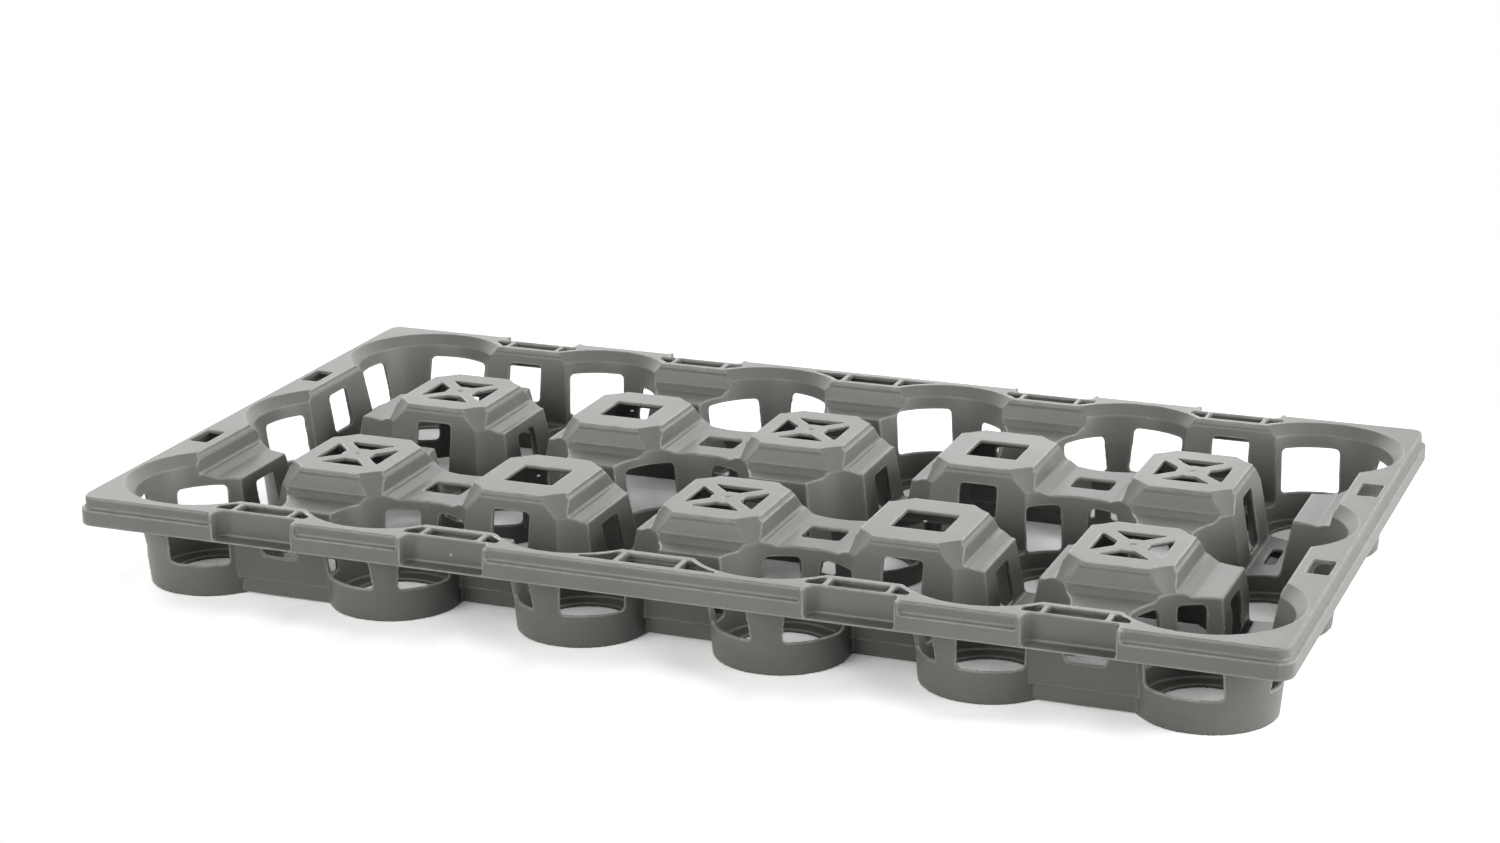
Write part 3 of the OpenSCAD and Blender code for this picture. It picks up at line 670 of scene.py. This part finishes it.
def torn_plastic(settings):
    """Whitened, rough plastic of a torn stub."""
    material = bpy.data.materials.new("torn_plastic")
    material.use_nodes = True
    tree = material.node_tree
    tree.nodes.clear()
    tear = (*settings.tear, 1.0)
    at = node(tree, "ShaderNodeTexCoord").outputs["Object"]
    uneven = noise(tree, at, TORN_SCALE, 3.0, 0.6)
    dull = tuple(0.6 * value for value in settings.tear) + (1.0,)
    colour = mixed(tree, ramp(tree, uneven, 0.35, 0.65), dull, tear)
    bump = node(tree, "ShaderNodeBump", Strength=0.6, Distance=TORN_DEPTH, Height=uneven)
    shader = node(
        tree, "ShaderNodeBsdfPrincipled",
        Base_Color=colour, Roughness=0.6, IOR=PLASTIC_IOR, Normal=bump.outputs[0],
    )
    output = node(tree, "ShaderNodeOutputMaterial")
    tree.links.new(shader.outputs[0], output.inputs["Surface"])
    material.diffuse_color = tear
    return material


# Studio


def seen_ray(tree):
    """1 for rays that show a surface: from the camera, in a reflection or through something clear."""
    path = node(tree, "ShaderNodeLightPath").outputs
    seen = maths(tree, "MAXIMUM", path["Is Camera Ray"], path["Is Glossy Ray"])
    return maths(tree, "MAXIMUM", seen, path["Is Transmission Ray"])


def floor_white(settings):
    """Matte white for the floor. Near the tray it shows the light and the shadow that fall on it, and
    further out it is plain white, so that it runs into the white surroundings."""
    material = bpy.data.materials.new("studio_floor")
    material.use_nodes = True
    tree = material.node_tree
    tree.nodes.clear()
    seen = seen_ray(tree)
    white, grey, black = ((value,) * 3 + (1.0,) for value in (1.0, settings.floor_bounce, 0.0))
    more = ((settings.floor_gain - 1.0) / 2,) * 3 + (1.0,)
    matte = node(tree, "ShaderNodeBsdfDiffuse", Color=mixed(tree, seen, grey, white))
    extra = node(tree, "ShaderNodeBsdfDiffuse", Color=mixed(tree, seen, black, more))
    at = node(tree, "ShaderNodeTexCoord").outputs["Object"]
    squashed = stretched(tree, at, (CAD_HIGH.y / CAD_HIGH.x, 1.0, 0.0))
    away = node(tree, "ShaderNodeVectorMath", set_operation="LENGTH", i0=squashed).outputs["Value"]
    far = ramp(tree, away, settings.shadow_start, settings.shadow_end)
    far = maths(tree, "MULTIPLY", far, seen)
    least = maths(tree, "MULTIPLY", seen, settings.shadow_lift)
    lift = node(tree, "ShaderNodeEmission", Color=white, Strength=least)
    near = node(tree, "ShaderNodeAddShader", i0=extra.outputs[0], i1=extra.outputs[0])
    near = node(tree, "ShaderNodeAddShader", i0=matte.outputs[0], i1=near.outputs[0])
    near = node(tree, "ShaderNodeAddShader", i0=near.outputs[0], i1=lift.outputs[0])
    plain = node(tree, "ShaderNodeEmission", Color=white, Strength=1.0)
    mix = node(tree, "ShaderNodeMixShader", i0=far, i1=near.outputs[0], i2=plain.outputs[0])
    output = node(tree, "ShaderNodeOutputMaterial")
    tree.links.new(mix.outputs[0], output.inputs["Surface"])
    return material


def white_world(settings):
    """Even light from all round, plain white where it is seen."""
    world = bpy.data.worlds.new("studio")
    bpy.context.scene.world = world
    world.use_nodes = True
    tree = world.node_tree
    tree.nodes.clear()
    light = node(tree, "ShaderNodeBackground", Color=(1.0, 1.0, 1.0, 1.0), Strength=settings.sky)
    white = node(tree, "ShaderNodeBackground", Color=(1.0, 1.0, 1.0, 1.0), Strength=1.0)
    mix = node(tree, "ShaderNodeMixShader", i0=seen_ray(tree), i1=light.outputs[0], i2=white.outputs[0])
    output = node(tree, "ShaderNodeOutputWorld")
    tree.links.new(mix.outputs[0], output.inputs["Surface"])


def area_lamp(name, place, size, power):
    """A large square lamp that faces the middle of the tray."""
    lamp = bpy.data.lights.new(name, "AREA")
    lamp.size = size
    lamp.energy = power
    piece = bpy.data.objects.new(name, lamp)
    piece.location = place
    piece.rotation_euler = (-Vector(place)).to_track_quat("-Z", "Y").to_euler()
    bpy.context.scene.collection.objects.link(piece)


def view_axes(azimuth, elevation, roll):
    """Right, up and forward of a camera."""
    level = Vector((math.cos(azimuth), math.sin(azimuth), 0.0))
    ahead = Vector((-math.sin(azimuth), math.cos(azimuth), 0.0))
    forward = ahead * math.cos(elevation) - Vector((0.0, 0.0, math.sin(elevation)))
    rise = level.cross(forward)
    right = math.cos(roll) * level + math.sin(roll) * rise
    up = -math.sin(roll) * level + math.cos(roll) * rise
    return right, up, forward


# Operators


class TRAY_OT_cups(Operator):
    """Skins the round cells with their base rings, windows and floor lips"""

    bl_idname = "tray.cups"
    bl_label = "Cells"

    def execute(self, context):
        skin_pieces(context, "cup_")
        return {"FINISHED"}


class TRAY_OT_turrets(Operator):
    """Skins the hollow turrets between the cells, with their braces and platforms"""

    bl_idname = "tray.turrets"
    bl_label = "Turrets"

    def execute(self, context):
        skin_pieces(context, "turret_")
        return {"FINISHED"}


class TRAY_OT_bridges(Operator):
    """Skins the slotted plates between paired turrets"""

    bl_idname = "tray.bridges"
    bl_label = "Bridges"

    def execute(self, context):
        skin_pieces(context, "bridge_")
        return {"FINISHED"}


class TRAY_OT_pilasters(Operator):
    """Skins the stepped walls below the long rails"""

    bl_idname = "tray.pilasters"
    bl_label = "Pilasters"

    def execute(self, context):
        skin_pieces(context, "_pilaster_")
        return {"FINISHED"}


class TRAY_OT_shoulders(Operator):
    """Skins the end walls that carry a platform"""

    bl_idname = "tray.shoulders"
    bl_label = "End Shoulders"

    def execute(self, context):
        skin_pieces(context, "_shoulder")
        return {"FINISHED"}


class TRAY_OT_panels(Operator):
    """Skins the plain end walls with a window"""

    bl_idname = "tray.panels"
    bl_label = "End Panels"

    def execute(self, context):
        skin_pieces(context, "_panel")
        return {"FINISHED"}


class TRAY_OT_rails(Operator):
    """Skins the rim's shelf and bands with their recesses, ribs and slots"""

    bl_idname = "tray.rails"
    bl_label = "Rim Rails"

    def execute(self, context):
        skin_pieces(context, "_rail")
        return {"FINISHED"}


class TRAY_OT_floors(Operator):
    """Skins the low floors with drain slots between the cells"""

    bl_idname = "tray.floors"
    bl_label = "Neck Floors"

    def execute(self, context):
        skin_pieces(context, "_neck_floors")
        return {"FINISHED"}


class TRAY_OT_camera(Operator):
    """Adds the camera at the tray's front right"""

    bl_idname = "tray.camera"
    bl_label = "Camera"

    def execute(self, context):
        settings = context.scene.tray_camera
        data = bpy.data.cameras.new("camera")
        data.lens = settings.lens
        data.sensor_width = SENSOR_WIDTH
        data.clip_start = 0.01
        data.clip_end = 100.0
        camera = bpy.data.objects.new("camera", data)
        right, up, forward = view_axes(settings.azimuth, settings.elevation, settings.roll)
        axes = Matrix((right, up, -forward)).transposed().to_4x4()
        camera.matrix_world = Matrix.Translation(settings.place) @ axes
        context.scene.collection.objects.link(camera)
        context.scene.camera = camera
        return {"FINISHED"}


class TRAY_OT_marks(Operator):
    """Adds the torn stubs in the middles of the braces and the pin's mark on a front recess"""

    bl_idname = "tray.marks"
    bl_label = "Mould Marks"

    def execute(self, context):
        settings = context.scene.tray_marks
        tear = torn_plastic(settings)
        radius, height = settings.stub_radius, settings.stub_height
        stubs = [
            dome((x, y, CAD_HIGH.z - height), (0, 0, 1), radius, height, rough=1.0)
            for x, y in dimple_middles()
        ]
        if not stubs:
            raise RuntimeError("no turret has a dimple in its brace")
        mark_piece("brace_stubs", stubs, tear)
        mark = dome(PIN_PLACE, (0, -1, 0), settings.pin_radius, settings.pin_height)
        mark_piece("recess_pin_mark", [mark], tear)
        return {"FINISHED"}


class TRAY_OT_stage(Operator):
    """Adds the pale floor, the white surroundings and the soft lamps"""

    bl_idname = "tray.stage"
    bl_label = "Stage"

    def execute(self, context):
        settings = context.scene.tray_studio
        half = settings.floor_size / 2
        corners = [(-half, -half, 0.0), (half, -half, 0.0), (half, half, 0.0), (-half, half, 0.0)]
        mesh = bpy.data.meshes.new("floor")
        mesh.from_pydata(corners, [], [(0, 1, 2, 3)])
        mesh.materials.append(floor_white(settings))
        floor = bpy.data.objects.new("floor", mesh)
        floor.location.z = CAD_LOW.z
        context.scene.collection.objects.link(floor)
        white_world(settings)
        for name, place, size, power in LAMPS:
            area_lamp(name, place, size, getattr(settings, power))
        context.scene.view_settings.view_transform = "Standard"
        return {"FINISHED"}


class TRAY_PT_panel(Panel):
    """Lists the tray's steps and settings"""

    bl_idname = "TRAY_PT_panel"
    bl_label = "Carrying Tray"
    bl_space_type = "VIEW_3D"
    bl_region_type = "UI"
    bl_category = "Tray"

    def draw(self, context):
        layout, scene = self.layout, context.scene
        groups = (
            (scene.tray_camera, (TRAY_OT_camera,)),
            (scene.tray_plastic, ()),
            (scene.tray_skin, PIECES),
            (scene.tray_marks, (TRAY_OT_marks,)),
            (scene.tray_studio, (TRAY_OT_stage,)),
        )
        for settings, steps in groups:
            column = layout.column(align=True)
            for key in settings.__annotations__:
                column.prop(settings, key)
            for step in steps:
                column.operator(step.bl_idname)


SETTINGS = {
    "tray_skin": TraySkinSettings,
    "tray_plastic": TrayPlasticSettings,
    "tray_marks": TrayMarkSettings,
    "tray_camera": TrayCameraSettings,
    "tray_studio": TrayStudioSettings,
}
PIECES = (
    TRAY_OT_cups, TRAY_OT_turrets, TRAY_OT_bridges, TRAY_OT_pilasters,
    TRAY_OT_shoulders, TRAY_OT_panels, TRAY_OT_rails, TRAY_OT_floors,
)
CLASSES = (*SETTINGS.values(), TRAY_OT_camera, *PIECES, TRAY_OT_marks, TRAY_OT_stage, TRAY_PT_panel)


def register():
    for item in CLASSES:
        bpy.utils.register_class(item)
    for name, group in SETTINGS.items():
        setattr(bpy.types.Scene, name, PointerProperty(type=group))


def unregister():
    for name in SETTINGS:
        delattr(bpy.types.Scene, name)
    for item in reversed(CLASSES):
        bpy.utils.unregister_class(item)


def main():
    """Builds the scene."""
    register()
    bpy.ops.tray.camera()
    bpy.ops.tray.cups()
    bpy.ops.tray.turrets()
    bpy.ops.tray.bridges()
    bpy.ops.tray.pilasters()
    bpy.ops.tray.shoulders()
    bpy.ops.tray.panels()
    bpy.ops.tray.rails()
    bpy.ops.tray.floors()
    bpy.ops.tray.marks()
    bpy.ops.tray.stage()


if __name__ == "__main__":
    main()
